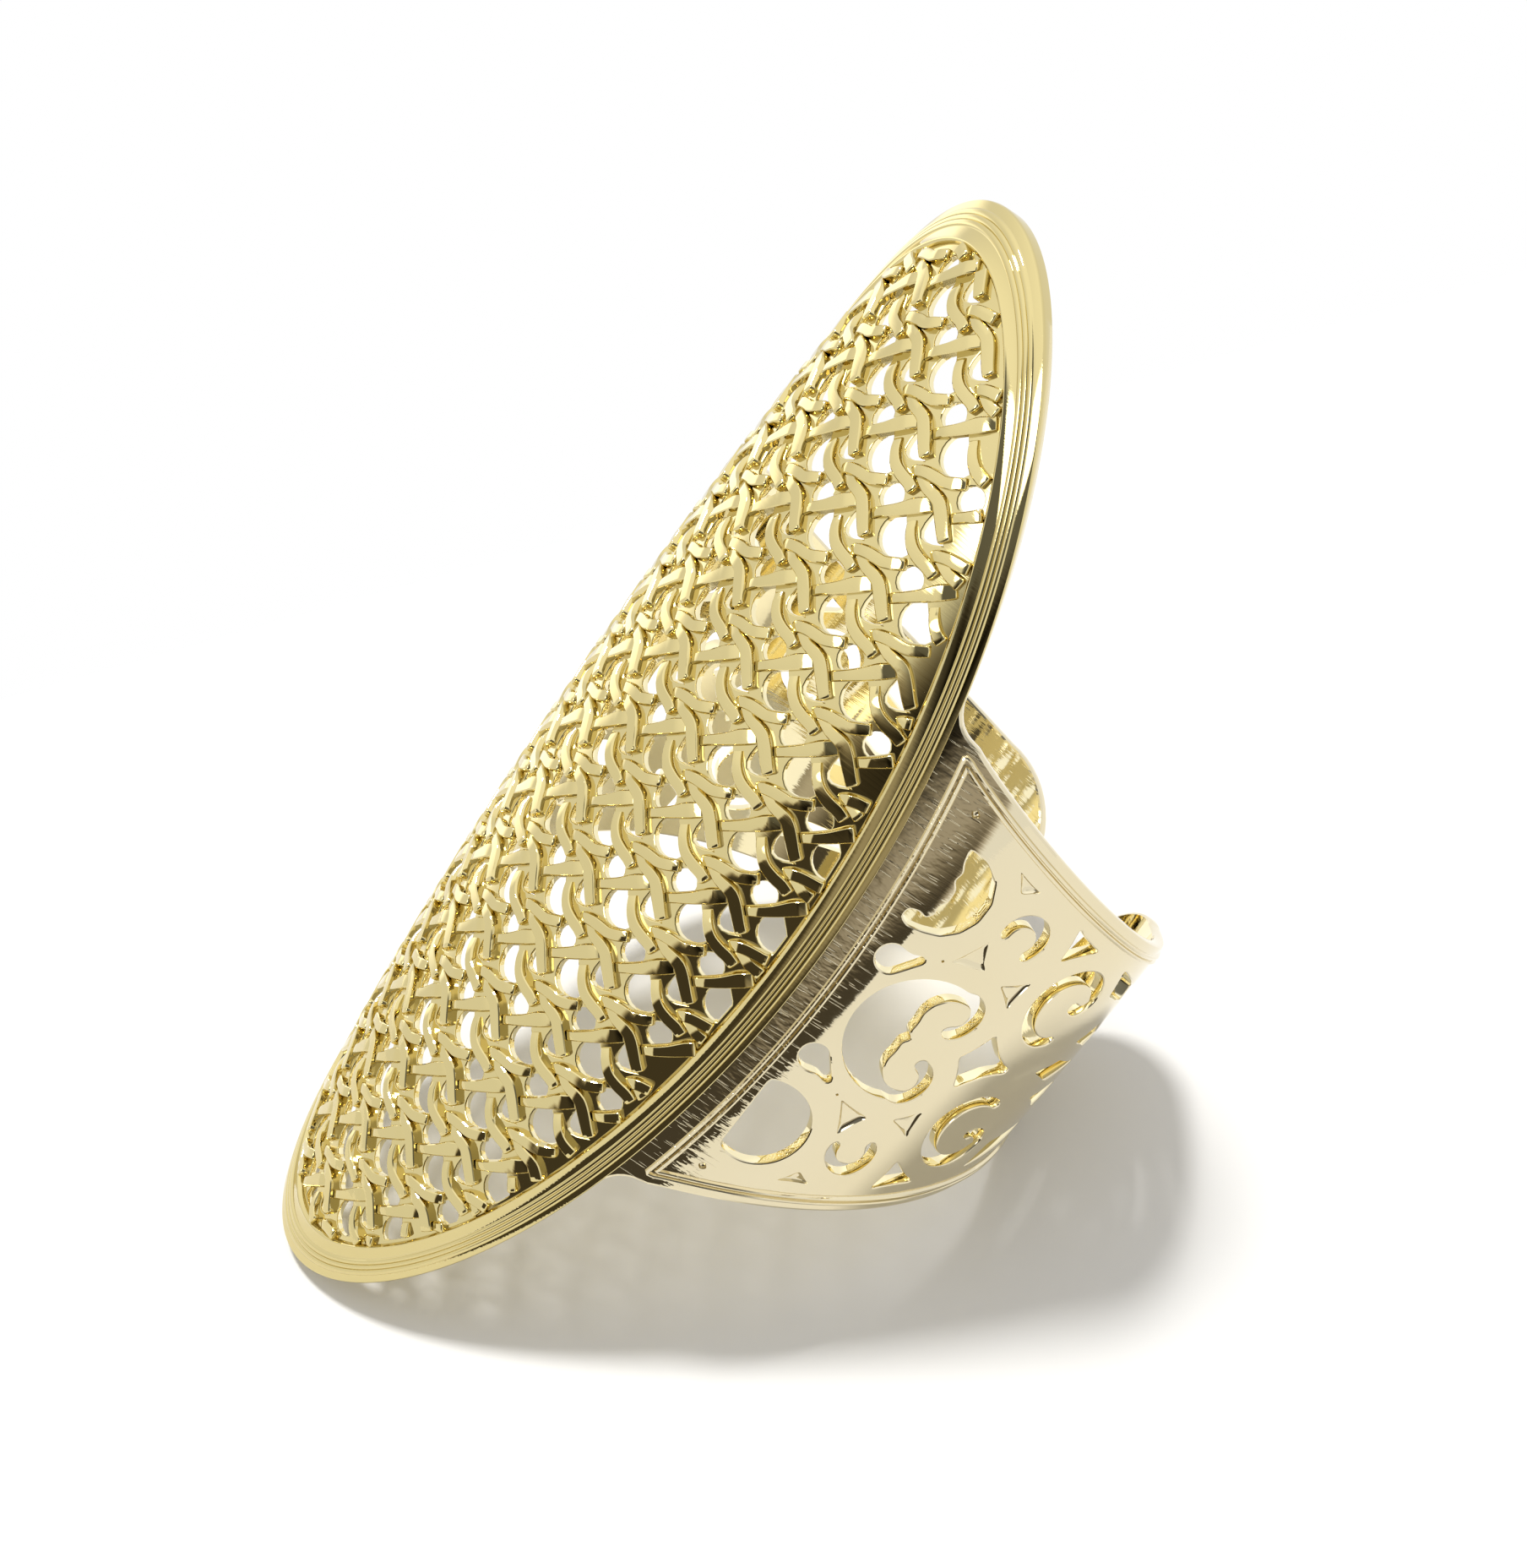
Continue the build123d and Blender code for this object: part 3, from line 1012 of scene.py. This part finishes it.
def makeFloor():
    mesh = bpy.data.meshes.new("floor")
    corners = floorLook["corners"]
    mesh.from_pydata([(*corner, 0) for corner in corners], [], [tuple(range(len(corners)))])
    finish = Finish(bpy.data.materials.new("paleFloor"))
    grain = finish.node("ShaderNodeTexNoise", None, {"Scale": floorLook["grain"], "Detail": 2.0})
    rough = grain * floorLook["smears"] + floorLook["roughness"]
    sockets = {"Base Color": floorLook["tone"], "Roughness": rough}
    mesh.materials.append(finish.surface(finish.node("ShaderNodeBsdfPrincipled", None, sockets)))
    floor = bpy.data.objects.new("floor", mesh)
    bpy.context.scene.collection.objects.link(floor)


def makeDome():
    world = bpy.data.worlds.new("studio")
    bpy.context.scene.world = world
    sky = Finish(world, "ShaderNodeOutputWorld")
    world.cycles.sampling_method = "NONE"
    across = sky.node("ShaderNodeSeparateXYZ", None, {0: sky.node("ShaderNodeTexCoord").out("Generated")})
    height = across.out("Z")

    def towards(way):
        level = across * way[0] + across.out("Y") * way[1]
        return level + height * way[2] if len(way) > 2 else level

    browner = sky.ramp(across, studio["brownSide"]) * sky.ramp(height, studio["brownRise"])
    depth = studio["dark"] - browner * (studio["dark"] - studio["brown"])
    below = sky.ramp(height, studio["cardTop"], 1.0, 0.0)
    card = sky.ramp(towards(studio["cardWay"]), studio["cardSpan"]) * below * depth
    low = sky.ramp(height, studio["glowTop"], 1.0, 0.0)
    glow = sky.ramp(towards(studio["glowWay"]), studio["glowSpan"]) * low * studio["glow"]
    room = sky.ramp(towards(studio["hoodWay"]), studio["hoodSpan"]) * studio["hoodDark"]
    bright = sky.ramp(height, studio["domeSpan"], *studio["dome"])
    shine = sky.ramp(towards(studio["lampWay"]), studio["lampSpan"]) * studio["lampPower"]
    path = sky.node("ShaderNodeLightPath")
    mirrors = sky.ramp(path.out("Glossy Depth"), (1.2, 1.8), 1.0, studio["laterMirrors"])
    shaded = (bright + glow) * (1.0 - card * mirrors) * (1.0 - room * mirrors)
    camera = path.out("Is Camera Ray")
    glossy = path.out("Is Glossy Ray")
    fill = (1.0 - camera - glossy) * studio["fill"]
    strength = camera + glossy * (shaded + shine * mirrors) + fill
    tint = sky.node(
        "ShaderNodeMix",
        dict(data_type="RGBA"),
        {"Factor": card * mirrors * glossy, "A": (1, 1, 1, 1), "B": studio["cardTone"]},
    )
    sky.surface(sky.node("ShaderNodeBackground", None, {"Color": tint, "Strength": strength}))


def makeSun():
    sun = bpy.data.objects.new("sun", bpy.data.lights.new("sun", "SUN"))
    sun.data.energy = studio["sun"]
    sun.data.angle = radians(studio["sunSpread"])
    sun.rotation_euler = Vector(studio["sunFrom"]).to_track_quat("Z", "Y").to_euler()
    bpy.context.scene.collection.objects.link(sun)


bpy.context.scene.view_settings.view_transform = "Standard"
makeFloor()
makeDome()
makeSun()
print("stage made")
